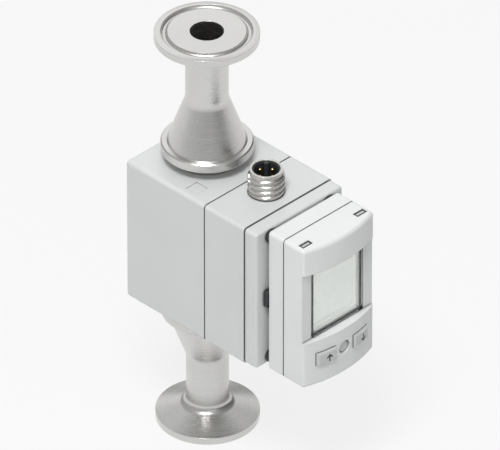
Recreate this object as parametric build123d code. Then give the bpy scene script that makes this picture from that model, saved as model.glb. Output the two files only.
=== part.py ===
from build123d import *

import os
from math import radians, sqrt, tan

# An in-line flow sensor with clamp ferrules and a display head that swivels on its housing.
# Sizes are in millimetres. +Z runs up the pipe axis from the face of the inlet ferrule, which
# is the origin. The display faces -Y, and a "depth" is a distance from the pipe axis towards it.
# Heights called z are measured from the middle of the housing.

# Clamp ferrule, tube, cone and collar of each pipe adapter
ferrule_diameter = 34.0
ferrule_rim = 2.6
ferrule_taper = 20.0
ferrule_fillet = 2.9
relief_diameter = 31.5
relief_drop = 0.25
groove_diameter = 27.5
groove_width = 2.2
tube_diameter = 14.0
bore_diameter = 11.0
cone_start = 25.2
cone_blend = 9.0
cone_length = 16.7
cone_diameter = 26.0
collar_diameter = 30.0
collar_thickness = 3.4
collar_edge = 0.4
spigot_diameter = 20.0
spigot_wall = 2.0
spigot_reach = 9.0
spigot_groove = 1.6
spigot_groove_depth = 1.1

# Measuring pipe with its vortex body and sensor seat
pipe_wall = 3.0
socket_wall = 2.45
neck_height = 3.75
pipe_end_length = 9.4
vortex_width = 4.4
vortex_tail = 1.8
vortex_length = 6.0
vortex_z = -7.0
pad_width = 9.0
pad_height = 22.0

# Paddle sensor, its clamp and its contact pins
plug_diameter = 8.0
sensor_flange = 10.0
flange_thickness = 1.6
paddle_length = 11.0
paddle_height = 5.5
paddle_thickness = 0.8
clamp_width = 8.0
clamp_thickness = 1.4
clamp_corner = 1.5
clamp_end = 1.0
clamp_screw_pitch = 15.0
clamp_screw_from_socket = 1.25
clamp_hole = 2.4
sensor_seal = 0.8
pin_pitch = 2.0
pin_slot = 1.6
pin_diameter = 0.8

# Housing sections, from the back to the front
housing_width = 39.8
housing_height = 53.1
housing_corner = 1.2
housing_wall = 2.4
inner_corner = 0.6
housing_back = 17.2
measuring_front = 18.45
electronics_depth = 17.95
partition = 2.0
window_width = 16.0
window_height = 26.0
carrier_depth = 5.4
carrier_inset = 0.3
carrier_edge = 0.8
mark_side = 4.9
mark_depth = 0.2
mark_inset = 5.3
mark_back = 10.0
seal_width = 0.9
seal_depth = 0.8
seal_corner = 1.0
shadow_width = 0.5
shadow_depth = 0.4

# Screws
housing_screw_drop = 6.05
housing_screw = 3.0
housing_screw_head = 5.4
housing_screw_head_height = 2.6
housing_screw_sink = 3.0
housing_screw_grip = 5.5
boss_floor = 1.0
screw_clearance = 0.1
boss_wall = 1.6
boss_gap = 0.6
small_screw = 2.0
small_head = 3.6
small_head_height = 1.1

# Round connector on the middle section
connector_z = 8.8
connector_from_joint = 8.35
thread_diameter = 12.0
thread_relief = 0.2
relief_height = 0.4
thread_chamfer = 1.0
shell_bore = 9.2
shell_flange = 14.6
flange_height = 1.8
insert_wall = 0.45
insert_face = 8.4
insert_drop = 0.3
insert_below = 2.0
key_width = 1.4
key_depth = 0.9
key_bearing = 45.0
contact_radius = 2.8
contact_diameter = 1.0
contact_recess = 1.4
connector_board_drop = 9.4
connector_board_width = 16.0

# Swivel between carrier and head
swivel_gap = 1.8
swivel_clearance = 0.3
swivel_fit = 0.06
swivel_seal = 0.8
hub_diameter = 20.0
hub_wall = 3.5
ring_thickness = 1.3
ring_overlap = 1.3
tab_reach = 1.9
tab_angle = 28.0
stop_wall = 3.0
stop_angle = 60.0
stop_bearing = 225.0
swivel_screw_inset = 2.0
swivel_screw_head = 3.2
plate_corner = 3.0
plate_width = 25.0
plate_height = 46.0
ear_x = 13.15
ear_z = 23.4
ear_diameter = 4.8
side_tab_width = 32.6
side_tab_height = 6.2
side_tab_corner = 0.6

# Display head
head_width = 31.8
head_height = 53.7
head_corner = 1.2
head_wall = 1.8
head_rear_edge = 0.6
rear_shell_depth = 6.6
cover_side_depth = 9.2
crown = 2.9
cover_boss_depth = 3.8
head_seal_depth = 0.6
recess_step = 0.65
recess_height = 26.45
recess_z = 3.775
lens_width = 23.0
lens_proud = 0.45
lens_seat = 1.0
lens_ledge = 1.1
lens_gap = 0.1
lens_corner = 0.5
lens_bevel = 0.2
display_width = 22.0
display_height = 25.0
display_thickness = 2.6
display_frame = 1.2
display_step = 0.3
board_thickness = 1.6
display_board_gap = 0.4
display_board_end = 6.25
post_diameter = 3.2
post_x = 9.5
post_z = 16.0

# Keys
key_x = 7.75
key_z = -16.8
key_cap_width = 7.5
key_cap_height = 4.8
key_proud = 0.9
key_bevel = 0.6
key_gap = 0.2
key_flange = 0.5
key_flange_thickness = 0.8
key_travel = 0.5
stem_side = 2.4
enter_diameter = 4.3
enter_hole = 4.8
enter_recess = 0.6
enter_flange = 5.6
switch_side = 4.2
switch_height = 2.0
switch_bore = 1.4
plunger_diameter = 2.0
plunger_rise = 1.0
plunger_slack = 0.1

# Status lights in the head's top wall
light_x = 12.3
light_width = 4.4
light_depth = 2.2
light_from_recess = 0.85
light_length = 7.6
light_foot = 2.4
light_foot_x = 11.4
light_sink = 0.2

# Boards and leads inside the housing
main_board_gap = 1.5
main_board_back = 22.0
main_board_low = -17.0
main_post_inset = 3.0
main_post_low = -13.5
main_post_high = 8.0
lead_diameter = 2.4
lead_plug_width = 8.0
lead_plug_height = 5.0
lead_plug_depth = 4.0

# Fits between pieces of one assembly
seat_gap = 0.05
running_gap = 0.1

# Half the band in which an edge at a known place is looked for
edge_search = 0.01

# Levels along the pipe axis
cone_end = cone_start + cone_length
collar_end = cone_end + collar_thickness
housing_low = collar_end + neck_height
pipe_low = housing_low + housing_wall
spigot_end = pipe_low + spigot_reach
spigot_groove_low = pipe_low + (spigot_reach - spigot_groove) / 2
mid_height = housing_low + housing_height / 2
face_to_face = 2 * mid_height
half_height = housing_height / 2
socket_inner = half_height - housing_wall - pipe_end_length
sensor_z = socket_inner - clamp_screw_from_socket - clamp_screw_pitch / 2

# Diameters of the pipe, which follow from the spigots that it takes
pipe_bore = spigot_diameter - 2 * spigot_wall
pipe_diameter = pipe_bore + 2 * pipe_wall
pipe_end_diameter = spigot_diameter + 2 * (seat_gap + socket_wall)

# Depths from the pipe axis to the front
pad_depth = pipe_diameter / 2
flange_front = pad_depth + flange_thickness
clamp_front = flange_front + clamp_thickness
electronics_front = measuring_front + electronics_depth
carrier_front = electronics_front + carrier_depth
carrier_inner = carrier_front - housing_wall
screw_head_seat = carrier_front - housing_screw_sink
connector_depth = measuring_front + connector_from_joint
head_back = carrier_front + swivel_gap
plate_back = carrier_front + swivel_clearance
hub_end = carrier_inner - running_gap
ring_back = hub_end - ring_thickness
seam = head_back + rear_shell_depth
cover_side = seam + cover_side_depth
cover_front = cover_side + crown
boss_front = seam + cover_boss_depth
boss_hole_end = boss_front - head_seal_depth
crown_radius = ((head_width / 2) ** 2 + crown**2) / (2 * crown)
crown_centre = cover_front - crown_radius
recess_plane = cover_side - recess_step
recess_inner = recess_plane - head_wall
lens_back = recess_plane - lens_seat
lens_front = recess_plane + lens_proud
display_front = recess_inner - lens_gap
display_board_front = display_front - display_thickness
display_board_back = display_board_front - board_thickness
switch_front = display_board_front + switch_height
plunger_front = switch_front + plunger_rise
main_board_front = main_board_back + board_thickness
lead_start = main_board_front + lead_plug_depth + running_gap
lead_end = display_board_back - lead_plug_depth
connector_board_top = half_height - connector_board_drop
connector_board_low = connector_board_top - board_thickness

# Widths and diameters that follow from the ones above
spigot_groove_floor = spigot_diameter - 2 * spigot_groove_depth
housing_screw_x = shell_flange / 2 + boss_gap + housing_screw / 2 + boss_wall
housing_screw_z = housing_height / 2 - housing_screw_drop
mark_x = mark_inset - housing_width / 2
connector_neck = thread_diameter - 2 * thread_relief
seal_seat = connector_neck + 2 * seal_depth + 2 * seat_gap
hub_bore = hub_diameter - 2 * hub_wall
swivel_screw_circle = hub_diameter - 2 * swivel_screw_inset
swivel_ring_diameter = hub_diameter + 2 * ring_overlap
tab_diameter = swivel_ring_diameter + 2 * tab_reach
display_board_width = head_width - 2 * head_wall - 2 * display_board_gap
display_board_height = head_height - 2 * display_board_end
main_board_width = housing_width - 2 * housing_wall - 2 * main_board_gap
main_post_x = main_board_width / 2 - main_post_inset


def facing(depth):
    """Sketch plane across the sensor: x to the right, y up from the middle of the housing."""
    return Plane(origin=(0, -depth, mid_height), x_dir=(1, 0, 0), z_dir=(0, -1, 0))


def slab(sketch, depth_from, depth_to):
    """Sketch seen from the front, thickened between two depths."""
    return extrude(facing(depth_from) * sketch, amount=depth_to - depth_from)


def rod(diameter, depth_from, depth_to, x=0.0, z=0.0):
    """Round bar that runs from back to front."""
    return slab(Pos(x, z) * Circle(diameter / 2), depth_from, depth_to)


def block(width, height, depth_from, depth_to, x=0.0, z=0.0):
    """Square-cornered bar that runs from back to front."""
    return slab(Pos(x, z) * Rectangle(width, height), depth_from, depth_to)


def post(diameter, z_from, z_to, x=0.0, depth=0.0):
    """Upright round bar between two heights from the middle of the housing."""
    base = Pos(x, -depth, mid_height + z_from)
    return base * extrude(Circle(diameter / 2), amount=z_to - z_from)


def four(x, z):
    """The four places at plus and minus x and z."""
    return [(side * x, level * z) for side in (-1, 1) for level in (-1, 1)]


def edges_at(shape, depth):
    """Edges that lie at one depth."""
    return shape.edges().filter_by_position(Axis.Y, -depth - edge_search, -depth + edge_search)


def corners_at(profile, x, y):
    """Corners of a flat profile at one place."""
    return profile.vertices().filter_by(
        lambda v: abs(v.X - x) < edge_search and abs(v.Y - y) < edge_search
    )


def rounded(width, height, corner):
    return RectangleRounded(width, height, corner)


def o_ring(centre_radius, section):
    """Seal ring about the local z axis."""
    profile = Pos(centre_radius, 0) * RegularPolygon(section, 8)
    return revolve(Plane.XZ * profile, Axis.Z)


def screw(head, head_height, shank, depth_head, depth_tip, x, z):
    """Flat-headed screw with its head at depth_head and its tip at depth_tip."""
    way = 1 if depth_tip > depth_head else -1
    under_head = depth_head + way * head_height
    body = rod(head, min(depth_head, under_head), max(depth_head, under_head), x, z)
    return body + rod(shank, min(under_head, depth_tip), max(under_head, depth_tip), x, z)


def seam_seal(width, height, wall, depth, thickness):
    """Flat seal cord that follows the middle of a casing's wall behind a joint face."""
    outer = rounded(width - wall + seal_width, height - wall + seal_width, seal_corner)
    inner = rounded(width - wall - seal_width, height - wall - seal_width, seal_corner)
    return slab(outer - inner, depth - thickness, depth)


def crown_depth(x, offset=0.0):
    """Depth of the head's curved front at x, or of a surface offset from it."""
    return crown_centre + sqrt((crown_radius + offset) ** 2 - x**2)


def crowned_slab(x_from, x_to, offset_back, offset_front, z_from, z_to):
    """Plate that follows the curve of the head's front between two offsets from it."""
    x_mid = (x_from + x_to) / 2

    def arc(offset):
        ends = [(x, -crown_depth(x, offset)) for x in (x_from, x_mid, x_to)]
        return ends, ThreePointArc(*ends)

    front, front_arc = arc(offset_front)
    back, back_arc = arc(offset_back)
    sides = [Line(front[0], back[0]), Line(front[2], back[2])]
    plan = make_face([front_arc, back_arc] + sides)
    return Pos(0, 0, mid_height + z_from) * extrude(plan, amount=z_to - z_from)


def crowned_block(width, height, back, offset):
    """Block with a flat back whose front follows the head's curve at an offset."""
    half = width / 2
    side = crown_depth(half, offset)
    corners = [(-half, -side), (-half, -back), (half, -back), (half, -side)]
    arc = ThreePointArc(corners[0], (0, -crown_depth(0, offset)), corners[3])
    sides = [Line(a, b) for a, b in zip(corners, corners[1:])]
    plan = make_face([arc] + sides)
    return Pos(0, 0, mid_height - height / 2) * extrude(plan, amount=height)


def adapter():
    """Clamp ferrule, tube and cone turned from one bar, with the clamp face at z = 0."""
    rim = ferrule_diameter / 2
    tube = tube_diameter / 2
    bore = bore_diameter / 2
    taper_end = ferrule_rim + (rim - tube) * tan(radians(ferrule_taper))
    spigot = spigot_diameter / 2
    groove_floor = spigot_groove_floor / 2
    groove_high = spigot_groove_low + spigot_groove
    outline = Polyline(
        (bore, 0),
        (relief_diameter / 2, 0),
        (rim, relief_drop),
        (rim, ferrule_rim),
        (tube, taper_end),
        (tube, cone_start),
        (cone_diameter / 2, cone_end),
        (collar_diameter / 2, cone_end),
        (collar_diameter / 2, collar_end),
        (spigot, collar_end),
        (spigot, spigot_groove_low),
        (groove_floor, spigot_groove_low),
        (groove_floor, groove_high),
        (spigot, groove_high),
        (spigot, spigot_end),
        (pipe_bore / 2, spigot_end),
        (pipe_bore / 2, cone_end),
        (bore, cone_start),
        close=True,
    )
    profile = make_face(outline)
    profile = fillet(corners_at(profile, tube, taper_end), ferrule_fillet)
    profile = fillet(corners_at(profile, tube, cone_start), cone_blend)
    for level in (cone_end, collar_end):
        profile = chamfer(corners_at(profile, collar_diameter / 2, level), collar_edge)
    groove = Pos(groove_diameter / 2, 0) * Circle(groove_width / 2)
    return revolve(Plane.XZ * (profile - groove), Axis.Z)


def inlet_adapter():
    return adapter()


def outlet_adapter():
    return Pos(0, 0, face_to_face) * Rot(180, 0, 0) * adapter()


def spigot_ring():
    socket = spigot_diameter / 2 + seat_gap
    section = (socket - spigot_groove_floor / 2) / 2 - seat_gap / 2
    level = spigot_groove_low + spigot_groove / 2
    return Pos(0, 0, level) * o_ring(spigot_groove_floor / 2 + section + seat_gap / 4, section)


def inlet_o_ring():
    return spigot_ring()


def outlet_o_ring():
    return Pos(0, 0, face_to_face) * Rot(180, 0, 0) * spigot_ring()


def measuring_pipe():
    """Pipe with a socket at each end, a vortex body across it and a flat seat for the sensor."""
    end = half_height - housing_wall
    pipe = post(pipe_diameter, -end, end)
    for low, high in ((-end, -socket_inner), (socket_inner, end)):
        pipe += post(pipe_end_diameter, low, high)
    pad = block(pad_width, pad_height, 0, pad_depth, z=sensor_z)
    pipe += pad & post(pipe_end_diameter, -end, end)
    pipe -= post(pipe_bore, -end, end)
    socket = spigot_diameter + 2 * seat_gap
    socket_length = spigot_reach + seat_gap
    for low, high in ((-end, socket_length - end), (end - socket_length, end)):
        pipe -= post(socket, low, high)
    pipe += vortex_body()
    pipe -= rod(plug_diameter + 2 * seat_gap, 0, pad_depth, z=sensor_z)
    for z in clamp_screw_levels():
        pipe -= rod(small_screw + 2 * seat_gap, pad_depth - clamp_hole, pad_depth, z=z)
    return pipe


def clamp_screw_levels():
    return [sensor_z - clamp_screw_pitch / 2, sensor_z + clamp_screw_pitch / 2]


def vortex_body():
    """Wedge across the bore, broad side to the flow, that sheds the vortices."""
    low = vortex_z - vortex_length / 2
    high = vortex_z + vortex_length / 2
    wedge = Polygon(
        (-vortex_width / 2, low),
        (vortex_width / 2, low),
        (vortex_tail / 2, high),
        (-vortex_tail / 2, high),
        align=None,
    )
    reach = (pipe_bore + pipe_diameter) / 4
    return slab(wedge, -reach, reach)


def paddle_sensor():
    """Plug with a thin paddle that reaches into the bore behind the vortex body."""
    wall = (pipe_diameter - pipe_bore) / 2
    plug_back = pad_depth - wall
    seal_floor = plug_diameter - 2 * sensor_seal
    sensor = rod(sensor_flange, pad_depth, flange_front, z=sensor_z)
    sensor += rod(plug_diameter, plug_back, pad_depth, z=sensor_z)
    seal = sensor_seal_depths()
    ring = rod(plug_diameter, *seal, z=sensor_z) - rod(seal_floor, *seal, z=sensor_z)
    sensor -= ring
    paddle_tip = plug_back - paddle_length
    sensor += block(paddle_thickness, paddle_height, paddle_tip, plug_back, z=sensor_z)
    return sensor


def sensor_seal_depths():
    middle = pad_depth - (pipe_diameter - pipe_bore) / 4
    return middle - sensor_seal / 2 - seat_gap, middle + sensor_seal / 2 + seat_gap


def sensor_o_ring():
    low, high = sensor_seal_depths()
    section = sensor_seal / 2
    ring = o_ring(plug_diameter / 2 - sensor_seal + section + seat_gap / 2, section)
    return Pos(0, -(low + high) / 2, mid_height + sensor_z) * Rot(90, 0, 0) * ring


def sensor_clamp():
    """Plate across the sensor's flange, held by a screw above and one below."""
    height = clamp_screw_pitch + small_head + 2 * clamp_end
    outline = Pos(0, sensor_z) * rounded(clamp_width, height, clamp_corner)
    plate = slab(outline, flange_front, clamp_front)
    slot = 2 * pin_pitch + pin_slot
    plate -= block(slot, pin_slot, flange_front, clamp_front, z=sensor_z)
    for z in clamp_screw_levels():
        plate -= rod(small_screw + 2 * seat_gap, flange_front, clamp_front, z=z)
    return plate


def clamp_screws():
    head = clamp_front + small_head_height
    tip = pad_depth - clamp_hole + seat_gap
    made = [
        screw(small_head, small_head_height, small_screw, head, tip, 0, z)
        for z in clamp_screw_levels()
    ]
    return Compound(children=made)


def sensor_pins():
    pins = [
        rod(pin_diameter, flange_front, main_board_back, x=place * pin_pitch, z=sensor_z)
        for place in (-1, 0, 1)
    ]
    return Compound(children=pins)


def shadow_gap(width, height, corner, depth):
    """Narrow step round a casing's edge that shows as a dark line at its joint."""
    inner = rounded(width - 2 * shadow_depth, height - 2 * shadow_depth, corner - shadow_depth)
    return slab(rounded(width, height, corner) - inner, depth, depth + shadow_width)


def hollow(width, height, wall, back, front):
    """Room inside a rectangular casing between two depths."""
    return slab(rounded(width - 2 * wall, height - 2 * wall, inner_corner), back, front)


def screw_bosses(boss, depth_from, depth_to):
    """Four bosses that reach from the housing screws to the top and bottom walls."""
    inner = half_height - housing_wall
    bosses = None
    for x, z in four(housing_screw_x, housing_screw_z):
        way = 1 if z > 0 else -1
        rib = inner - abs(z)
        one = rod(boss, depth_from, depth_to, x, z)
        one += block(boss, rib, depth_from, depth_to, x, z + way * rib / 2)
        bosses = one if bosses is None else bosses + one
    return bosses


def measuring_housing():
    """Rear section: closed at the back, with a hole above and below for the pipe."""
    outline = rounded(housing_width, housing_height, housing_corner)
    box = slab(outline, -housing_back, measuring_front)
    box = fillet(edges_at(box, -housing_back), housing_corner)
    inner_back = housing_wall - housing_back
    box -= hollow(housing_width, housing_height, housing_wall, inner_back, measuring_front)
    boss_back = measuring_front - housing_screw_grip - boss_floor
    box += screw_bosses(housing_screw + 2 * boss_wall, boss_back, measuring_front)
    box -= post(spigot_diameter + 2 * seat_gap, -half_height, half_height)
    for x, z in four(housing_screw_x, housing_screw_z):
        low = measuring_front - housing_screw_grip
        box -= rod(housing_screw + 2 * seat_gap, low, measuring_front, x, z)
    box -= seam_seal(housing_width, housing_height, housing_wall, measuring_front, seal_depth)
    mark = Pos(mark_x, -mark_back, mid_height + half_height - mark_depth / 2)
    return box - mark * Box(mark_side, mark_side, mark_depth)


def housing_gasket():
    return seam_seal(
        housing_width, housing_height, housing_wall, measuring_front, seal_depth - seat_gap / 2
    )


def electronics_housing():
    """Middle section: a thin rear wall with a window, screw tubes and the connector's seat."""
    outline = rounded(housing_width, housing_height, housing_corner)
    box = slab(outline, measuring_front, electronics_front)
    inner_back = measuring_front + partition
    box -= hollow(housing_width, housing_height, housing_wall, inner_back, electronics_front)
    box -= block(
        window_width, window_height, measuring_front, measuring_front + partition, z=sensor_z
    )
    box += screw_bosses(housing_screw + 2 * boss_wall, measuring_front, electronics_front)
    for x, z in four(housing_screw_x, housing_screw_z):
        box -= rod(
            housing_screw + 2 * screw_clearance, measuring_front, electronics_front, x, z
        )
    for x, z in main_posts():
        box += rod(post_diameter, measuring_front, main_board_back, x, z)
        box -= rod(small_screw + 2 * seat_gap, measuring_front, main_board_back, x, z)
    inner_top = half_height - housing_wall
    box -= post(thread_diameter + 2 * seat_gap, inner_top, half_height, depth=connector_depth)
    box -= post(seal_seat, inner_top, inner_top + seal_depth, depth=connector_depth)
    box -= seam_seal(
        housing_width, housing_height, housing_wall, electronics_front, seal_depth
    )
    return box - shadow_gap(housing_width, housing_height, housing_corner, measuring_front)


def main_posts():
    return [(side * main_post_x, z) for side in (-1, 1) for z in (main_post_low, main_post_high)]


def carrier_gasket():
    return seam_seal(
        housing_width, housing_height, housing_wall, electronics_front, seal_depth - seat_gap / 2
    )


def head_carrier():
    """Front section: a lid with the swivel's bearing hole and its stop."""
    width = housing_width - 2 * carrier_inset
    height = housing_height - 2 * carrier_inset
    lid = slab(rounded(width, height, housing_corner), electronics_front, carrier_front)
    lid = fillet(edges_at(lid, carrier_front), carrier_edge)
    lid -= hollow(housing_width, housing_height, housing_wall, electronics_front, carrier_inner)
    bearing = hub_diameter + 2 * swivel_fit
    sector = ring_sector(bearing / 2 + stop_wall / 2, tab_diameter / 2 + stop_wall, stop_angle)
    stop = slab(Rot(0, 0, stop_bearing) * sector, ring_back - running_gap, carrier_inner)
    ring_room = swivel_ring_diameter + 2 * swivel_clearance
    lid += stop - rod(ring_room, ring_back - running_gap, carrier_inner)
    lid -= rod(bearing, electronics_front, carrier_front)
    lid += screw_bosses(housing_screw_head + boss_wall, electronics_front, carrier_inner)
    for x, z in four(housing_screw_x, housing_screw_z):
        lid -= rod(housing_screw + 2 * screw_clearance, electronics_front, carrier_front, x, z)
        lid -= rod(housing_screw_head + 2 * screw_clearance, screw_head_seat, carrier_front, x, z)
    return lid - shadow_gap(width, height, housing_corner, electronics_front)


def ring_sector(inner, outer, angle):
    """Sector of a ring, centred on the local x axis."""
    reach = 2 * outer
    half = radians(angle / 2)
    wedge = Polygon(
        (0, 0), (reach, -reach * tan(half)), (reach, reach * tan(half)), align=None
    )
    return (Circle(outer) - Circle(inner)) & wedge


def housing_screws():
    head = screw_head_seat + housing_screw_head_height
    tip = measuring_front - housing_screw_grip + seat_gap
    made = [
        screw(housing_screw_head, housing_screw_head_height, housing_screw, head, tip, x, z)
        for x, z in four(housing_screw_x, housing_screw_z)
    ]
    return Compound(children=made)


def connector_shell():
    """Threaded sleeve, shown at its full thread diameter, with a flange under the top wall."""
    rim = half_height + connector_z
    inner_top = half_height - housing_wall
    thread_low = half_height + relief_height
    sleeve = post(thread_diameter, thread_low, rim, depth=connector_depth)
    top = sleeve.edges().group_by(Axis.Z)[-1]
    sleeve = chamfer(top, thread_chamfer)
    sleeve += post(connector_neck, inner_top - flange_height, thread_low, depth=connector_depth)
    flange = post(shell_flange, inner_top - flange_height, inner_top, depth=connector_depth)
    flat = measuring_front + partition + seat_gap
    sleeve += flange & block(shell_flange, housing_height, flat, electronics_front)
    return sleeve - post(shell_bore, inner_top - flange_height, rim, depth=connector_depth)


def contact_places():
    """The four contacts, a quarter turn apart."""
    return [(0, contact_radius), (contact_radius, 0), (0, -contact_radius), (-contact_radius, 0)]


def connector_insert():
    """Insulating cup with a coding key on the side away from the display."""
    outer = shell_bore - 2 * seat_gap
    inner = outer - 2 * insert_wall
    rim = half_height + connector_z - insert_drop
    face = half_height + connector_z - insert_face
    low = half_height - housing_wall - flange_height - insert_below
    cup = post(outer, low, rim, depth=connector_depth)
    cup -= post(inner, face, rim, depth=connector_depth)
    reach = key_depth + insert_wall
    key = Pos((outer - reach) / 2, 0) * Rectangle(reach, key_width)
    key = extrude(Rot(0, 0, key_bearing) * key, amount=rim - face)
    key = Pos(0, -connector_depth, mid_height + face) * key
    cup += key & post(outer, low, rim, depth=connector_depth)
    for x, y in contact_places():
        cup -= Pos(x, y) * post(contact_diameter + 2 * seat_gap, low, face, depth=connector_depth)
    return cup


def connector_pins():
    top = half_height + connector_z - contact_recess
    pins = []
    for x, y in contact_places():
        pin = post(contact_diameter, connector_board_low, top, depth=connector_depth)
        tip = pin.edges().group_by(Axis.Z)[-1]
        pins.append(Pos(x, y) * chamfer(tip, contact_diameter / 4))
    return Compound(children=pins)


def connector_o_ring():
    section = seal_depth / 2 - seat_gap / 2
    ring = o_ring((seal_seat + connector_neck) / 4, section)
    level = half_height - housing_wall + seal_depth / 2
    return Pos(0, -connector_depth, mid_height + level) * ring


def connector_board():
    """Small level board that the contacts are soldered into."""
    back = main_board_back
    front = connector_depth + connector_board_width / 2
    board = block(
        connector_board_width, board_thickness, back, front, z=connector_board_low + board_thickness / 2
    )
    for x, y in contact_places():
        board -= Pos(x, y) * post(
            contact_diameter + 2 * seat_gap, connector_board_low, connector_board_top, depth=connector_depth
        )
    return board


def main_board():
    """Upright board under the connector board."""
    height = connector_board_low - main_board_low
    middle = (connector_board_low + main_board_low) / 2
    board = block(main_board_width, height, main_board_back, main_board_front, z=middle)
    for x, z in main_posts():
        board -= rod(small_screw + 2 * seat_gap, main_board_back, main_board_front, x, z)
    return board


def board_screws():
    head = main_board_front + small_head_height
    tip = measuring_front + partition
    made = [
        screw(small_head, small_head_height, small_screw, head, tip, x, z) for x, z in main_posts()
    ]
    return Compound(children=made)


def main_lead_plug():
    return block(
        lead_plug_width, lead_plug_height, main_board_front, main_board_front + lead_plug_depth
    )


def display_lead_plug():
    return block(lead_plug_width, lead_plug_height, lead_end, display_board_back)


def head_lead():
    """Round lead on the swivel axis, so that it only twists when the head turns."""
    return rod(lead_diameter, lead_start, lead_end)


def swivel_plate():
    """Plate on the head's back with rounded ears, side tabs and the bearing hub."""
    outline = rounded(plate_width, plate_height, plate_corner)
    for x, z in four(ear_x, ear_z):
        outline += Pos(x, z) * Circle(ear_diameter / 2)
        neck_z = z * (1 - ear_diameter / 4 / ear_z)
        outline += Pos(x * 3 / 4, neck_z) * Rectangle(ear_x / 2, ear_diameter / 2)
    outline += rounded(side_tab_width, side_tab_height, side_tab_corner)
    plate = slab(outline, plate_back, head_back)
    plate += rod(hub_diameter, hub_end, plate_back)
    plate -= rod(hub_bore, hub_end, head_back)
    groove = swivel_seal_depths()
    floor = hub_diameter - 2 * swivel_seal
    plate -= rod(hub_diameter, *groove) - rod(floor, *groove)
    for x, z in swivel_screw_places():
        plate -= rod(small_screw + 2 * seat_gap, hub_end, head_back, x, z)
    for x, z in four(ear_x, ear_z):
        plate -= rod(small_screw + 2 * screw_clearance, plate_back, head_back, x, z)
        plate -= rod(small_head + 2 * seat_gap, plate_back, plate_back + small_head_height, x, z)
    return plate


def swivel_seal_depths():
    middle = (carrier_inner + carrier_front) / 2
    return middle - swivel_seal / 2 - seat_gap, middle + swivel_seal / 2 + seat_gap


def swivel_o_ring():
    low, high = swivel_seal_depths()
    section = swivel_seal / 2
    ring = o_ring(hub_diameter / 2 - section, section - seat_gap / 4)
    return Pos(0, -(low + high) / 2, mid_height) * Rot(90, 0, 0) * ring


def swivel_screw_places():
    radius = swivel_screw_circle / 2
    half = radius / 2
    return [(0, radius), (-half * sqrt(3), -half), (half * sqrt(3), -half)]


def swivel_ring():
    """Ring behind the carrier's wall that keeps the hub in, with the tab for the stop."""
    outline = Circle(swivel_ring_diameter / 2) + ring_sector(hub_bore / 2, tab_diameter / 2, tab_angle)
    outline -= Circle(hub_bore / 2)
    for x, z in swivel_screw_places():
        outline -= Pos(x, z) * Circle(small_screw / 2 + screw_clearance)
    return slab(outline, ring_back, hub_end)


def swivel_screws():
    made = [
        screw(
            swivel_screw_head,
            small_head_height,
            small_screw,
            ring_back - small_head_height,
            head_back - seat_gap,
            x,
            z,
        )
        for x, z in swivel_screw_places()
    ]
    return Compound(children=made)


def head_rear_shell():
    """Rear shell of the head with posts for the display board."""
    box = slab(rounded(head_width, head_height, head_corner), head_back, seam)
    box = fillet(edges_at(box, head_back), head_rear_edge)
    box -= hollow(head_width, head_height, head_wall, head_back + head_wall, seam)
    for x, z in four(post_x, post_z):
        box += rod(post_diameter, head_back, display_board_back, x, z)
    box -= rod(hub_bore, head_back, head_back + head_wall)
    for x, z in four(ear_x, ear_z):
        box -= rod(small_screw + 2 * screw_clearance, head_back, seam, x, z)
    box -= seam_seal(head_width, head_height, head_wall, seam, head_seal_depth)
    return box


def head_gasket():
    return seam_seal(head_width, head_height, head_wall, seam, head_seal_depth - seat_gap / 2)


def head_front_cover():
    """Front shell with a curved face, the flat window recess and the key openings."""
    outer = crowned_block(head_width, head_height, seam, 0)
    along = outer.edges().filter_by(Axis.Y)
    front = outer.edges().filter_by_position(
        Axis.Y, -cover_front - edge_search, -cover_side + edge_search
    )
    outer = fillet(along + front, head_corner)
    inner_width = head_width - 2 * head_wall
    room = crowned_block(inner_width, head_height - 2 * head_wall, seam, -head_wall)
    band = recess_height + 2 * head_wall
    room -= block(head_width, band, recess_inner, cover_front, z=recess_z)
    outer -= room
    outer -= block(head_width, recess_height, recess_plane, cover_front, z=recess_z)
    seat_width = lens_width + 2 * lens_gap
    outer -= block(seat_width, recess_height, lens_back, recess_plane, z=recess_z)
    outer -= block(
        lens_width - 2 * lens_ledge,
        recess_height - 2 * lens_ledge,
        recess_inner,
        lens_back,
        z=recess_z,
    )
    for side in (-1, 1):
        opening_width = key_cap_width + 2 * key_gap
        opening_height = key_cap_height + 2 * key_gap
        outer -= block(
            opening_width, opening_height, display_front, cover_front, x=side * key_x, z=key_z
        )
        outer -= light_opening(side)
    outer -= rod(enter_hole, display_front, cover_front, z=key_z)
    for x, z in four(ear_x, ear_z):
        outer += corner_boss(x, z)
        outer -= rod(small_screw + 2 * seat_gap, seam, boss_hole_end, x, z)
    return outer - shadow_gap(head_width, head_height, head_corner, seam)


def corner_boss(x, z):
    """Screw boss in a corner of the cover, joined to both walls beside it."""
    boss = small_screw + 2 * boss_wall
    inner_x = head_width / 2 - head_wall
    inner_z = head_height / 2 - head_wall
    way_x = 1 if x > 0 else -1
    way_z = 1 if z > 0 else -1
    reach_x = inner_x - abs(x) + boss / 2
    reach_z = inner_z - abs(z) + boss / 2
    return block(
        reach_x,
        reach_z,
        seam,
        boss_front,
        x=way_x * (inner_x - reach_x / 2),
        z=way_z * (inner_z - reach_z / 2),
    )


def light_depths():
    front = recess_plane - light_from_recess
    return front - light_depth, front


def light_opening(side):
    back, front = light_depths()
    top = head_height / 2
    return block(
        light_width + 2 * seat_gap,
        head_wall,
        back - seat_gap,
        front + seat_gap,
        x=side * light_x,
        z=top - head_wall / 2,
    )


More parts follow.
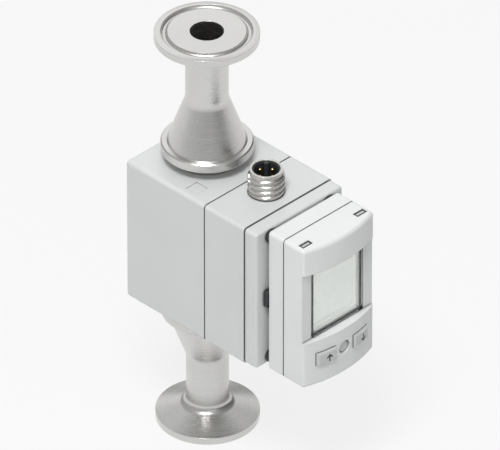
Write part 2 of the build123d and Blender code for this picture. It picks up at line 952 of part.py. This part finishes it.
def status_light(side):
    """Light guide from the lamp on the display board up through the head's top wall."""
    back, front = light_depths()
    top = head_height / 2 - light_sink
    bottom = head_height / 2 - light_length
    window_low = head_height / 2 - head_wall + seat_gap
    window_z = (top + window_low) / 2
    guide = block(light_width, top - window_low, back, front, x=side * light_x, z=window_z)
    inner_x = light_x - light_width / 2
    outer_x = head_width / 2 - head_wall - running_gap
    stem_x = side * (inner_x + outer_x) / 2
    stem_z = (window_low + bottom) / 2
    guide += block(outer_x - inner_x, window_low - bottom, back, front, x=stem_x, z=stem_z)
    foot_z = bottom + light_foot / 2
    foot_x = side * light_foot_x
    return guide + block(light_foot, light_foot, display_board_front, back, x=foot_x, z=foot_z)


def left_status_light():
    return status_light(-1)


def right_status_light():
    return status_light(1)


def head_screws():
    made = [
        screw(
            small_head,
            small_head_height,
            small_screw,
            plate_back,
            boss_hole_end - seat_gap,
            x,
            z,
        )
        for x, z in four(ear_x, ear_z)
    ]
    return Compound(children=made)


def display_window():
    height = recess_height - 2 * lens_gap
    lens = slab(Pos(0, recess_z) * rounded(lens_width, height, lens_corner), lens_back, lens_front)
    return chamfer(edges_at(lens, lens_front), lens_bevel)


def display_module():
    """Display cell in its frame, behind the window."""
    cell = block(display_width, display_height, display_board_front, display_front, z=recess_z)
    view = block(
        display_width - 2 * display_frame,
        display_height - 2 * display_frame,
        display_front - display_step,
        display_front,
        z=recess_z,
    )
    return cell - view


def display_board():
    return block(
        display_board_width,
        display_board_height,
        display_board_back,
        display_board_front,
    )


def switch_places():
    return [(-key_x, key_z), (0, key_z), (key_x, key_z)]


def key_switches():
    """Three push switches on the display board, each bored for its plunger."""
    made = []
    bore = plunger_diameter + 2 * running_gap
    bore_back = switch_front - switch_bore
    for x, z in switch_places():
        body = block(switch_side, switch_side, display_board_front, switch_front, x, z)
        made.append(body - rod(bore, bore_back, switch_front, x, z))
    return Compound(children=made)


def plunger(x):
    back = switch_front - switch_bore + key_travel + plunger_slack
    return rod(plunger_diameter, back, plunger_front, x, key_z)


def up_plunger():
    return plunger(-key_x)


def down_plunger():
    return plunger(key_x)


def enter_plunger():
    return plunger(0)


def arrow_key(side):
    """Bevelled cap that stands proud of the curved front, on a flange and a stem."""
    left = side * key_x - key_cap_width / 2
    right = side * key_x + key_cap_width / 2
    low = key_z - key_cap_height / 2
    high = key_z + key_cap_height / 2
    flange_front = -head_wall - running_gap
    flange_back = flange_front - key_flange_thickness
    cap = crowned_slab(left, right, flange_front, key_proud, low, high)
    rim = cap.faces().sort_by(Axis.Y)[0].edges()
    cap = chamfer(rim, key_bevel)
    flange = crowned_slab(
        left - key_flange,
        right + key_flange,
        flange_back,
        flange_front,
        low - key_flange,
        high + key_flange,
    )
    stem_front = crown_depth(key_x, (flange_back + flange_front) / 2)
    stem = block(stem_side, stem_side, plunger_front, stem_front, x=side * key_x, z=key_z)
    return cap + flange + stem


def up_button():
    return arrow_key(-1)


def down_button():
    return arrow_key(1)


def enter_button():
    """Round key below the surface of the cover."""
    cap_front = cover_front - enter_recess
    flange_front = crown_depth(enter_flange / 2, -head_wall) - running_gap
    flange_back = flange_front - key_flange_thickness
    cap = rod(enter_diameter, flange_back, cap_front, z=key_z)
    cap = chamfer(edges_at(cap, cap_front), key_bevel / 2)
    cap += rod(enter_flange, flange_back, flange_front, z=key_z)
    return cap + block(stem_side, stem_side, plunger_front, flange_back, z=key_z)


pieces = [
    inlet_adapter,
    outlet_adapter,
    inlet_o_ring,
    outlet_o_ring,
    measuring_pipe,
    paddle_sensor,
    sensor_o_ring,
    sensor_clamp,
    clamp_screws,
    sensor_pins,
    measuring_housing,
    housing_gasket,
    electronics_housing,
    carrier_gasket,
    head_carrier,
    housing_screws,
    connector_shell,
    connector_insert,
    connector_pins,
    connector_o_ring,
    connector_board,
    main_board,
    board_screws,
    main_lead_plug,
    swivel_plate,
    swivel_ring,
    swivel_screws,
    swivel_o_ring,
    head_rear_shell,
    head_gasket,
    head_front_cover,
    head_screws,
    display_window,
    display_module,
    display_board,
    display_lead_plug,
    head_lead,
    left_status_light,
    right_status_light,
    key_switches,
    up_button,
    down_button,
    enter_button,
    up_plunger,
    down_plunger,
    enter_plunger,
]

os.makedirs("parts", exist_ok=True)
for piece in pieces:
    export_step(piece(), f"parts/{piece.__name__}.step")
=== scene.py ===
import math

import bpy
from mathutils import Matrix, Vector


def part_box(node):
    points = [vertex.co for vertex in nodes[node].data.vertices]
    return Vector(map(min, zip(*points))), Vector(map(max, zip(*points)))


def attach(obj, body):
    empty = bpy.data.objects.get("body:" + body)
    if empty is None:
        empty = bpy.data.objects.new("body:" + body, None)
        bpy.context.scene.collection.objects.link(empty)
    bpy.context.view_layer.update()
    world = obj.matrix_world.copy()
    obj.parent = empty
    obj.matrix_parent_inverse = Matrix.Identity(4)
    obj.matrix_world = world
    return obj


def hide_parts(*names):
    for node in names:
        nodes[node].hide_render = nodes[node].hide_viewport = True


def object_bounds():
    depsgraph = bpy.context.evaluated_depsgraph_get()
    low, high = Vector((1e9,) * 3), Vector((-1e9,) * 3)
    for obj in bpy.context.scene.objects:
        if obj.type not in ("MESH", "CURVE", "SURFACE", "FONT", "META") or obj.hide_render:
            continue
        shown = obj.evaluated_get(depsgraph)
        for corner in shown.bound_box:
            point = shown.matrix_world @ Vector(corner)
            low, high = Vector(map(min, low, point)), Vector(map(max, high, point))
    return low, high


# Looks of an in-line flow sensor with clamp ferrules and a swivelling display head.
# Lengths are in metres. +Z runs up the pipe and the display faces -Y.
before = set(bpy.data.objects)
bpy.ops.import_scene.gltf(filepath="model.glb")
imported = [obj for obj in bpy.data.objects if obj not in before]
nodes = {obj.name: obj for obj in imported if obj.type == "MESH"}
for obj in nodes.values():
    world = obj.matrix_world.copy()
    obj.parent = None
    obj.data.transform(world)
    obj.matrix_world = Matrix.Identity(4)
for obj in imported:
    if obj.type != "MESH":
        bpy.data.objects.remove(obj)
cad_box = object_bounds()
mm = 0.001

# Camera of the isometric drawing: so far away that parallel edges stay nearly parallel.
# The clip values are shares of its distance.
view_target = Vector((0.0, -19.46, 85.13)) * mm
view_direction = Vector((-1.0, -1.0, 1.0)).normalized()
view_width = 160.36 * mm
lens_length = 1000.0
sensor_width = 36.0
clip_near = 0.1
clip_far = 3.0

# World, which brightens from one side of the sky to the other
world_bright_side = (-0.6, 0.3, 0.7)
world_dark_end = -0.7
world_bright_end = 0.6
world_strength = 0.5

# Floor, of which a share shows as plain white to the camera and in reflections
floor_reach = 3.0
floor_drop = 0.02 * mm
floor_white_share = 0.8
floor_roughness = 0.9

# Colours, as linear values
housing_colour = (0.66, 0.67, 0.67)
head_colour = (0.76, 0.77, 0.77)
key_colour = (0.56, 0.57, 0.57)
dark_colour = (0.035, 0.037, 0.04)
rubber_colour = (0.02, 0.02, 0.021)
steel_colour = (0.64, 0.635, 0.62)
nickel_colour = (0.60, 0.59, 0.56)
gold_colour = (0.83, 0.60, 0.26)
display_colour = (0.66, 0.69, 0.66)
print_colour = (0.015, 0.016, 0.018)
board_colour = (0.02, 0.12, 0.055)
guide_colour = (0.55, 0.56, 0.56)
lens_tint = (0.97, 0.98, 0.98)
white = (1.0, 1.0, 1.0)
world_dark_colour = (0.1, 0.1, 0.1)
floor_colour = (0.7, 0.7, 0.7)

# Noise values lie mostly between these two
noise_low = 0.3
noise_high = 0.7

# Painted shade in the joints and corners of the plastics: how open a place is where it starts
# and ends
painted_shade_reach = 1.4 * mm
painted_shade_tone = 0.12
painted_shade_closed = 0.3
painted_shade_open = 0.85
painted_shade_samples = 8
bevel_samples = 6

# Sockets of the colour mix node, whose names repeat
mix_share = 0
mix_first = 6
mix_second = 7
mix_result = 2

# Status lights, as the solids have them, with a rim masked in black
light_width = 4.4 * mm
light_depth = 2.2 * mm
light_rim = 0.65 * mm
light_transmission = 0.15

# Window: its blackened edge, and the share of the light that the clear part stops
lens_border = 0.35 * mm
lens_cover = 0.2
lens_index = 1.49
# Painted glow of the display cell, which is no lamp, to keep it pale behind the window
painted_display_glow = 0.4


def socket(node, name, value):
    """Sets a constant on one of a node's inputs."""
    node.inputs[name].default_value = value


def add_node(tree, kind, **values):
    """Node with the given inputs set, each named as the socket in small letters."""
    node = tree.nodes.new(kind)
    for name, value in values.items():
        socket(node, name.title(), value)
    return node


def rgba(colour, share=1.0):
    """Colour made darker or lighter by a share, with full alpha."""
    return tuple(share * part for part in colour) + (1.0,)


def new_material(name):
    """Material with its node tree and its shader."""
    material = bpy.data.materials.new(name)
    material.use_nodes = True
    tree = material.node_tree
    return material, tree, tree.nodes["Principled BSDF"]


def object_place(tree):
    """Place on the object in metres."""
    return tree.nodes.new("ShaderNodeTexCoord").outputs["Object"]


def split_place(tree):
    """Place on the object, split into X, Y and Z."""
    parts = tree.nodes.new("ShaderNodeSeparateXYZ")
    tree.links.new(object_place(tree), parts.inputs["Vector"])
    return parts.outputs


def turned_place(tree):
    """Distance from the pipe axis and height along it, for marks that run round it."""
    parts = split_place(tree)
    flat = tree.nodes.new("ShaderNodeCombineXYZ")
    tree.links.new(parts["X"], flat.inputs["X"])
    tree.links.new(parts["Y"], flat.inputs["Y"])
    length = tree.nodes.new("ShaderNodeVectorMath")
    length.operation = "LENGTH"
    tree.links.new(flat.outputs["Vector"], length.inputs[0])
    place = tree.nodes.new("ShaderNodeCombineXYZ")
    tree.links.new(length.outputs["Value"], place.inputs["X"])
    tree.links.new(parts["Z"], place.inputs["Z"])
    return place.outputs["Vector"]


def noise(tree, place, scale, detail=2.0):
    """Noise value with this many waves to the metre."""
    node = add_node(tree, "ShaderNodeTexNoise", scale=scale, detail=detail)
    tree.links.new(place, node.inputs["Vector"])
    return node.outputs["Fac"]


def math_node(tree, operation, first, second=None):
    """Result of an operation on a socket and a second socket or number."""
    node = tree.nodes.new("ShaderNodeMath")
    node.operation = operation
    tree.links.new(first, node.inputs[0])
    if isinstance(second, bpy.types.NodeSocket):
        tree.links.new(second, node.inputs[1])
    elif second is not None:
        node.inputs[1].default_value = second
    return node.outputs["Value"]


def blend_colours(tree, share, first, second):
    """Mix of two colours, each a socket or a constant."""
    node = tree.nodes.new("ShaderNodeMix")
    node.data_type = "RGBA"
    tree.links.new(share, node.inputs[mix_share])
    for end, colour in ((node.inputs[mix_first], first), (node.inputs[mix_second], second)):
        if isinstance(colour, bpy.types.NodeSocket):
            tree.links.new(colour, end)
        else:
            end.default_value = colour
    return node.outputs[mix_result]


def tint(tree, share, colour, low=1.0, high=1.0):
    """Colour that varies between two shares of itself."""
    return blend_colours(tree, share, rgba(colour, low), rgba(colour, high))


def paint(tree, shader, tone):
    """Gives the shader its colour."""
    tree.links.new(tone, shader.inputs["Base Color"])


def roughen(tree, shader, value, low, high):
    """Roughness that follows a noise value between two numbers."""
    node = tree.nodes.new("ShaderNodeMapRange")
    socket(node, "From Min", noise_low)
    socket(node, "From Max", noise_high)
    socket(node, "To Min", low)
    socket(node, "To Max", high)
    tree.links.new(value, node.inputs["Value"])
    tree.links.new(node.outputs["Result"], shader.inputs["Roughness"])


def painted_seam_shade(tree, tone, dark, own_only):
    """Painted shade: darkens the tone in corners and joints, of the piece alone or with its
    neighbours.
    """
    hollow = add_node(tree, "ShaderNodeAmbientOcclusion", distance=painted_shade_reach)
    hollow.samples = painted_shade_samples
    hollow.only_local = own_only
    share = tree.nodes.new("ShaderNodeMapRange")
    socket(share, "From Min", painted_shade_closed)
    socket(share, "From Max", painted_shade_open)
    tree.links.new(hollow.outputs["AO"], share.inputs["Value"])
    return blend_colours(tree, share.outputs["Result"], dark, tone)


def relief(tree, shader, pattern, depth, edge=0.0):
    """Fine relief of the surface, with edges that catch the light as if rounded."""
    bump = add_node(tree, "ShaderNodeBump", distance=depth)
    tree.links.new(pattern, bump.inputs["Height"])
    if edge:
        bevel = add_node(tree, "ShaderNodeBevel", radius=edge)
        bevel.samples = bevel_samples
        tree.links.new(bevel.outputs["Normal"], bump.inputs["Normal"])
    tree.links.new(bump.outputs["Normal"], shader.inputs["Normal"])


def moulded_plastic(name, colour, roughness=0.42, grain=2600.0, edge=0.25 * mm, own_only=False):
    """Moulded plastic with a spark-eroded grain, a faint uneven tone and painted shade in its
    joints and corners.
    """
    material, tree, shader = new_material(name)
    place = object_place(tree)
    cloud = noise(tree, place, scale=45.0, detail=3.0)
    tone = tint(tree, cloud, colour, low=0.96, high=1.03)
    # The colour is darkened by painted shade where corners and joints close it in
    paint(tree, shader, painted_seam_shade(tree, tone, rgba(colour, painted_shade_tone), own_only))
    fine = noise(tree, place, scale=grain)
    roughen(tree, shader, fine, low=roughness - 0.05, high=roughness + 0.07)
    relief(tree, shader, fine, depth=0.012 * mm, edge=edge)
    return material


def turned_steel(name):
    """Stainless steel with fine marks of the lathe round the pipe axis."""
    material, tree, shader = new_material(name)
    marks = noise(tree, turned_place(tree), scale=5200.0)
    cloud = noise(tree, object_place(tree), scale=60.0, detail=3.0)
    paint(tree, shader, tint(tree, cloud, steel_colour, low=0.93, high=1.05))
    socket(shader, "Metallic", 1.0)
    roughen(tree, shader, marks, low=0.22, high=0.33)
    relief(tree, shader, marks, depth=0.004 * mm, edge=0.15 * mm)
    return material


def plated_metal(name, colour, roughness):
    """Bright metal with a barely visible grain."""
    material, tree, shader = new_material(name)
    fine = noise(tree, object_place(tree), scale=4200.0)
    paint(tree, shader, tint(tree, fine, colour, low=0.94, high=1.04))
    socket(shader, "Metallic", 1.0)
    roughen(tree, shader, fine, low=roughness - 0.03, high=roughness + 0.05)
    relief(tree, shader, fine, depth=0.0012 * mm, edge=0.1 * mm)
    return material


def rubber(name):
    """Black seal rubber with a dull face."""
    material, tree, shader = new_material(name)
    fine = noise(tree, object_place(tree), scale=3200.0, detail=3.0)
    paint(tree, shader, tint(tree, fine, rubber_colour, low=0.8, high=1.5))
    roughen(tree, shader, fine, low=0.6, high=0.75)
    relief(tree, shader, fine, depth=0.01 * mm)
    return material


def circuit_board(name):
    """Solder mask with tracks that show through as lighter bands."""
    material, tree, shader = new_material(name)
    bands = add_node(tree, "ShaderNodeTexBrick", scale=260.0)
    tree.links.new(object_place(tree), bands.inputs["Vector"])
    fine = noise(tree, object_place(tree), scale=1500.0)
    paint(tree, shader, tint(tree, bands.outputs["Fac"], board_colour, high=1.7))
    roughen(tree, shader, fine, low=0.3, high=0.4)
    relief(tree, shader, bands.outputs["Fac"], depth=0.02 * mm)
    return material


def clear_lens(name):
    """Clear hard-coated plastic, see-through so that light reaches the display behind it."""
    material, tree, shader = new_material(name)
    socket(shader, "Transmission Weight", 1.0)
    socket(shader, "IOR", lens_index)
    smear = noise(tree, object_place(tree), scale=90.0)
    roughen(tree, shader, smear, low=0.02, high=0.06)
    tone = blend_colours(tree, smear, rgba(lens_tint), rgba(white))
    edge = lens_edge(tree)
    paint(tree, shader, blend_colours(tree, edge, tone, rgba(dark_colour, 0.4)))
    cover = tree.nodes.new("ShaderNodeMapRange")
    socket(cover, "To Min", lens_cover)
    tree.links.new(edge, cover.inputs["Value"])
    tree.links.new(cover.outputs["Result"], shader.inputs["Alpha"])
    return material


def lens_edge(tree):
    """One on the blackened edge of the window and nothing inside it."""
    low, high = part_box("display_window")
    parts = split_place(tree)
    beside = math_node(tree, "ABSOLUTE", parts["X"])
    beside = math_node(tree, "GREATER_THAN", beside, high.x - lens_border)
    level = math_node(tree, "SUBTRACT", parts["Z"], (low.z + high.z) / 2)
    level = math_node(tree, "ABSOLUTE", level)
    level = math_node(tree, "GREATER_THAN", level, (high.z - low.z) / 2 - lens_border)
    return math_node(tree, "MAXIMUM", beside, level)


def light_guide(name):
    """Translucent guide of a status light, with its rim masked in black."""
    material, tree, shader = new_material(name)
    cloud = noise(tree, object_place(tree), scale=400.0)
    clear = tint(tree, cloud, guide_colour, low=0.92)
    paint(tree, shader, blend_colours(tree, rim_mask(tree), clear, rgba(dark_colour, 0.6)))
    socket(shader, "Transmission Weight", light_transmission)
    roughen(tree, shader, cloud, low=0.12, high=0.2)
    relief(tree, shader, cloud, depth=0.004 * mm, edge=0.1 * mm)
    return material


def rim_mask(tree):
    """One on the rim of each status light and nothing in its middle."""
    low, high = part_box("right_status_light")
    parts = split_place(tree)
    across = math_node(tree, "ABSOLUTE", parts["X"])
    across = math_node(tree, "SUBTRACT", across, high.x - light_width / 2)
    across = math_node(tree, "ABSOLUTE", across)
    along = math_node(tree, "SUBTRACT", parts["Y"], low.y + light_depth / 2)
    along = math_node(tree, "ABSOLUTE", along)
    sides = math_node(tree, "GREATER_THAN", across, light_width / 2 - light_rim)
    ends = math_node(tree, "GREATER_THAN", along, light_depth / 2 - light_rim)
    return math_node(tree, "MAXIMUM", sides, ends)


def display_glass(name):
    """Blank display cell with a faint grid of dots and a faint painted glow, though it is no
    lamp, that keeps it pale.
    """
    material, tree, shader = new_material(name)
    grid = add_node(tree, "ShaderNodeTexChecker", scale=2200.0)
    tree.links.new(object_place(tree), grid.inputs["Vector"])
    paint(tree, shader, tint(tree, grid.outputs["Fac"], display_colour, low=0.97))
    fine = noise(tree, object_place(tree), scale=900.0)
    roughen(tree, shader, fine, low=0.22, high=0.3)
    # Painted light: the cell glows though it is no lamp
    socket(shader, "Emission Color", rgba(display_colour))
    socket(shader, "Emission Strength", painted_display_glow)
    return material


def printed_ink(name):
    """Dull black ink."""
    material, tree, shader = new_material(name)
    fine = noise(tree, object_place(tree), scale=5000.0)
    paint(tree, shader, tint(tree, fine, print_colour, low=0.8, high=1.8))
    roughen(tree, shader, fine, low=0.4, high=0.55)
    return material


def dress(names, material):
    """Gives CAD nodes their material."""
    for name in names:
        mesh = nodes[name].data
        mesh.materials.clear()
        mesh.materials.append(material)


def mesh_piece(name, points, faces, material, body):
    """Piece of the scene that rides on a body."""
    mesh = bpy.data.meshes.new(name)
    mesh.from_pydata([tuple(point) for point in points], [], faces)
    mesh.validate()
    mesh.materials.append(material)
    piece = bpy.data.objects.new(name, mesh)
    bpy.context.scene.collection.objects.link(piece)
    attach(piece, body)
    return piece


# Materials of the CAD nodes
steel = turned_steel("turned_steel")
fastener = plated_metal("fastener_steel", steel_colour, roughness=0.3)
gold = plated_metal("gold_plating", gold_colour, roughness=0.22)
nickel = plated_metal("nickel_plating", nickel_colour, roughness=0.25)
seal_rubber = rubber("seal_rubber")
housing_plastic = moulded_plastic("housing_plastic", housing_colour)
head_plastic = moulded_plastic("head_plastic", head_colour, roughness=0.38, grain=3000.0)
cover_plastic = moulded_plastic(
    "cover_plastic", head_colour, roughness=0.38, grain=3000.0, own_only=True
)
key_plastic = moulded_plastic(
    "key_plastic", key_colour, roughness=0.36, grain=3200.0, edge=0.15 * mm
)
dark_plastic = moulded_plastic("dark_plastic", dark_colour, roughness=0.45, grain=2400.0)
ink = printed_ink("printed_ink")

dress(["inlet_adapter", "outlet_adapter", "measuring_pipe"], steel)
dress(["sensor_clamp", "clamp_screws", "housing_screws", "board_screws"], fastener)
dress(["swivel_screws", "head_screws", "swivel_ring"], fastener)
dress(["sensor_pins", "connector_pins"], gold)
dress(["inlet_o_ring", "outlet_o_ring", "sensor_o_ring", "connector_o_ring"], seal_rubber)
dress(["swivel_o_ring", "housing_gasket", "carrier_gasket", "head_gasket"], seal_rubber)
dress(["measuring_housing", "electronics_housing", "head_carrier"], housing_plastic)
dress(["head_rear_shell"], head_plastic)
dress(["head_front_cover"], cover_plastic)
dress(["up_button", "down_button", "enter_button"], key_plastic)
dress(["swivel_plate", "paddle_sensor", "connector_insert", "key_switches"], dark_plastic)
dress(["main_lead_plug", "display_lead_plug", "head_lead"], dark_plastic)
dress(["up_plunger", "down_plunger", "enter_plunger"], dark_plastic)
dress(["connector_board", "main_board", "display_board"], circuit_board("circuit_board"))
dress(["display_window"], clear_lens("clear_lens"))
dress(["display_module"], display_glass("display_glass"))
dress(["left_status_light", "right_status_light"], light_guide("light_guide"))


# Threaded sleeve of the connector, with its turns as far apart as they are drawn.
# Crest and root are shares of the pitch.
thread_radius = 6.0 * mm
thread_pitch = 2.0 * mm
thread_height = 0.65 * mm
thread_crest = 0.4
thread_root = 0.1
thread_runout = 0.5 * thread_pitch
thread_steps = 72
thread_row = 0.125 * mm
flange_height = 1.8 * mm
sleeve_bore = 4.6 * mm
sleeve_edge = 1.0 * mm
sleeve_neck = 5.8 * mm
relief_height = 0.4 * mm


def thread_depth(turn):
    """Depth of the groove at a place along one pitch, with a flat crest and root."""
    across = abs((turn % 1.0) - 0.5) * 2
    share = (across - thread_crest) / (1 - thread_crest - thread_root)
    return thread_height * min(max(share, 0.0), 1.0)


def ring_faces(rows, steps):
    """Quads between rings of points, and between the last ring and the first."""
    return [
        (
            row * steps + step,
            row * steps + (step + 1) % steps,
            (row + 1) % rows * steps + (step + 1) % steps,
            (row + 1) % rows * steps + step,
        )
        for row in range(rows)
        for step in range(steps)
    ]


def connector_thread():
    """Sleeve from the flange inside the housing up to its rim, in place of the plain one."""
    low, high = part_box("connector_shell")
    wall_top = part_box("electronics_housing")[1].z
    centre_x = (low.x + high.x) / 2
    flange_radius = (high.x - low.x) / 2
    centre_y = low.y + flange_radius
    flange_top = low.z + flange_height
    start = wall_top + relief_height
    end = high.z - sleeve_edge
    rows = int((end - start) / thread_row)
    levels = [start + (end - start) * row / rows for row in range(rows + 1)]
    profile = [(sleeve_bore, low.z), (flange_radius, low.z), (flange_radius, flange_top)]
    profile += [(sleeve_neck, flange_top), (sleeve_neck, start)]
    profile += [(None, level) for level in levels]
    profile += [(thread_radius - thread_height, high.z), (sleeve_bore, high.z)]
    points = []
    for reach, level in profile:
        for step in range(thread_steps):
            angle = 2 * math.pi * step / thread_steps
            if reach is None:
                fade = min((end - level) / thread_runout, 1.0)
                depth = thread_depth((level - start) / thread_pitch - step / thread_steps)
                here = thread_radius - depth - (thread_height - depth) * (1 - fade)
            else:
                here = reach
            y = min(centre_y + here * math.sin(angle), high.y)
            points.append((centre_x + here * math.cos(angle), y, level))
    faces = ring_faces(len(profile), thread_steps)
    piece = mesh_piece("connector_thread", points, faces, nickel, "housing")
    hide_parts("connector_shell")


connector_thread()

# Arrows printed on the two keys, whose faces follow the crown of the head's front
arrow_length = 2.8 * mm
arrow_head = 1.25 * mm
arrow_line = 0.5 * mm
arrow_right = 0.7 * mm
arrow_drop = 0.4 * mm
ink_thickness = 0.02 * mm
key_proud = 0.9 * mm
crown_rise = 2.9 * mm
head_low, head_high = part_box("head_front_cover")
crown_radius = ((head_high.x - head_low.x) ** 2 / 4 + crown_rise**2) / (2 * crown_rise)


def key_surface(x, proud):
    """Y of a key's curved face at x."""
    return head_low.y + crown_radius - math.sqrt((crown_radius + proud) ** 2 - x**2)


def arrow(name, node, body, way):
    """Arrow of ink on a key's face, pointing up where way is 1 and down where it is -1."""
    low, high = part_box(node)
    x = (low.x + high.x) / 2 + arrow_right
    z = (low.z + high.z) / 2 - arrow_drop
    half, tip = arrow_line / 2, arrow_length / 2
    barb = arrow_line / math.sqrt(2)
    side = [(half, -tip), (half, tip - half - 2 * barb)]
    side += [(arrow_head - barb, tip - arrow_head - barb), (arrow_head, tip - arrow_head)]
    outline = side + [(0, tip)] + [(-across, up) for across, up in reversed(side)]
    points = []
    for lift in (0.0, ink_thickness):
        for across, up in outline:
            at = x + across
            points.append((at, key_surface(at, key_proud + lift), z + way * up))
    count = len(outline)
    faces = [tuple(range(count)), tuple(range(2 * count - 1, count - 1, -1))]
    faces += [
        (step, step + count, (step + 1) % count + count, (step + 1) % count)
        for step in range(count)
    ]
    mesh_piece(name, points, faces, ink, body)


arrow("up_arrow", "up_button", "up_key", 1)
arrow("down_arrow", "down_button", "down_key", -1)


# Floor, lights and camera
def pale_floor():
    """Wide pale floor that shows near white to the camera and keeps the object's shadow."""
    material, tree, shader = new_material("pale_floor")
    fine = noise(tree, object_place(tree), scale=30.0)
    paint(tree, shader, tint(tree, fine, floor_colour, low=0.995))
    socket(shader, "Roughness", floor_roughness)
    socket(shader, "Specular IOR Level", 0.0)
    glow = add_node(tree, "ShaderNodeEmission", strength=1.0)
    mix = tree.nodes.new("ShaderNodeMixShader")
    share, lit, white_face = mix.inputs
    rays = tree.nodes.new("ShaderNodeLightPath").outputs
    seen = math_node(tree, "MAXIMUM", rays["Is Camera Ray"], rays["Is Glossy Ray"])
    seen = math_node(tree, "MAXIMUM", seen, rays["Is Transmission Ray"])
    tree.links.new(math_node(tree, "MULTIPLY", seen, floor_white_share), share)
    tree.links.new(shader.outputs["BSDF"], lit)
    tree.links.new(glow.outputs["Emission"], white_face)
    output = tree.nodes["Material Output"]
    tree.links.new(mix.outputs["Shader"], output.inputs["Surface"])
    mesh = bpy.data.meshes.new("floor")
    signs = ((-1, -1), (1, -1), (1, 1), (-1, 1))
    corners = [(x * floor_reach, y * floor_reach, 0) for x, y in signs]
    mesh.from_pydata(corners, [], [(0, 1, 2, 3)])
    mesh.materials.append(material)
    floor = bpy.data.objects.new("floor", mesh)
    floor.location.z = cad_box[0].z - floor_drop
    bpy.context.scene.collection.objects.link(floor)


def area_light(name, direction, distance, size, power):
    """Square lamp, unseen by the camera, that faces the middle of the view."""
    lamp = bpy.data.lights.new(name, "AREA")
    lamp.shape = "SQUARE"
    lamp.size = size
    lamp.energy = power
    light = bpy.data.objects.new(name, lamp)
    way = Vector(direction).normalized()
    light.location = view_target + way * distance
    light.rotation_euler = way.to_track_quat("Z", "Y").to_euler()
    light.visible_camera = False
    bpy.context.scene.collection.objects.link(light)


def studio_world():
    """Soft light from all round that is brightest on one side."""
    world = bpy.data.worlds.new("studio")
    world.use_nodes = True
    tree = world.node_tree
    back = tree.nodes["Background"]
    towards = tree.nodes.new("ShaderNodeVectorMath")
    towards.operation = "DOT_PRODUCT"
    towards.inputs[1].default_value = world_bright_side
    tree.links.new(tree.nodes.new("ShaderNodeTexCoord").outputs["Generated"], towards.inputs[0])
    rise = tree.nodes.new("ShaderNodeMapRange")
    socket(rise, "From Min", world_dark_end)
    socket(rise, "From Max", world_bright_end)
    tree.links.new(towards.outputs["Value"], rise.inputs["Value"])
    tone = blend_colours(tree, rise.outputs["Result"], rgba(world_dark_colour), rgba(white))
    tree.links.new(tone, back.inputs["Color"])
    socket(back, "Strength", world_strength)
    bpy.context.scene.world = world


def drawing_camera():
    """Camera that shows the part as the drawing does."""
    data = bpy.data.cameras.new("camera")
    data.type = "PERSP"
    data.lens = lens_length
    data.sensor_width = sensor_width
    distance = view_width * lens_length / sensor_width
    data.clip_start = distance * clip_near
    data.clip_end = distance * clip_far
    camera = bpy.data.objects.new("camera", data)
    camera.location = view_target + view_direction * distance
    camera.rotation_euler = view_direction.to_track_quat("Z", "Y").to_euler()
    bpy.context.scene.collection.objects.link(camera)
    bpy.context.scene.camera = camera


pale_floor()
area_light("key_light", (-0.65, -0.4, 1.4), distance=1.2, size=0.35, power=9.8)
area_light("front_light", (-0.5, -1.3, 0.8), distance=1.3, size=0.9, power=0.8)
area_light("back_light", (0.9, 0.9, 0.9), distance=1.3, size=1.2, power=3.4)
studio_world()
drawing_camera()
bpy.context.scene.view_settings.view_transform = "Standard"
